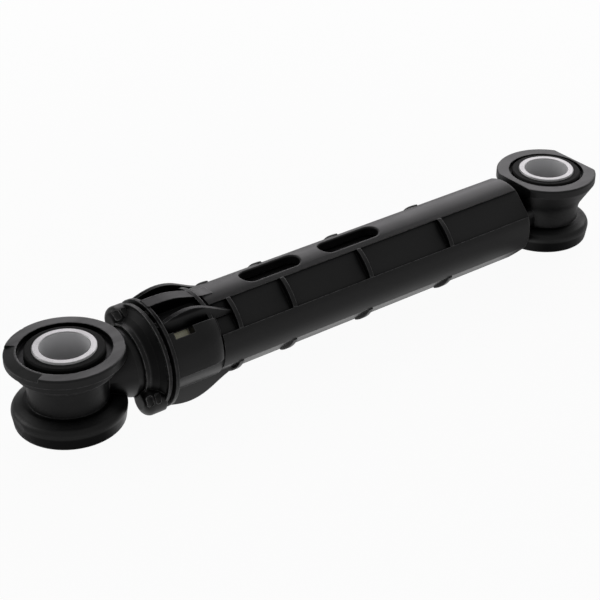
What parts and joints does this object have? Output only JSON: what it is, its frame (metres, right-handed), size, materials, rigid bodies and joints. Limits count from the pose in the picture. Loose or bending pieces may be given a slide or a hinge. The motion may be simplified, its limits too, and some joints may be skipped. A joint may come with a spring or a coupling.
{
  "type": "washing machine shock absorber",
  "caption": "Friction damper for a washing machine drum: ribbed tube with a bell and a clipped cap, sliding plunger, and an eye with a rubber bush and steel sleeve at each end.",
  "frame": {"origin": "centre of the bore in the tube's eye, on the long axis", "axes": "+X from the plunger's eye to the tube's eye, +Z along the eyes' bores, up when the damper lies on its side"},
  "size_m": [0.2, 0.0314, 0.0308],
  "materials": {
    "black_moulding": "satin black moulded plastic",
    "greased_foam": "open foam soaked in grease",
    "felt": "pressed felt",
    "pale_plastic": "plain bearing plastic",
    "rubber": "matt black rubber",
    "zinc_steel": "zinc-plated steel tube"
  },
  "bodies": {
    "housing": {"damper_tube": "black_moulding", "end_cap": "black_moulding", "wiper_ring": "felt", "lining_front": "greased_foam", "lining_rear": "greased_foam", "lining_spacer": "pale_plastic", "lining_stop": "pale_plastic", "bump_stop": "rubber", "tube_eye_bush": "rubber", "tube_eye_sleeve": "zinc_steel"},
    "guide": {"guide_ring": "pale_plastic"},
    "plunger_body": {"plunger": "black_moulding", "tip_plug": "black_moulding", "plunger_eye_bush": "rubber", "plunger_eye_sleeve": "zinc_steel"}
  },
  "joints": [
    {"name": "plunger_slide", "type": "slide", "parent": "housing", "child": "guide", "axis": [-1, 0, 0], "range_m": [0, 0.085]},
    {"name": "plunger_turn", "type": "hinge", "parent": "guide", "child": "plunger_body", "pos_m": [-0.085, 0, 0], "axis": [1, 0, 0], "range_deg": [-180, 180]}
  ]
}
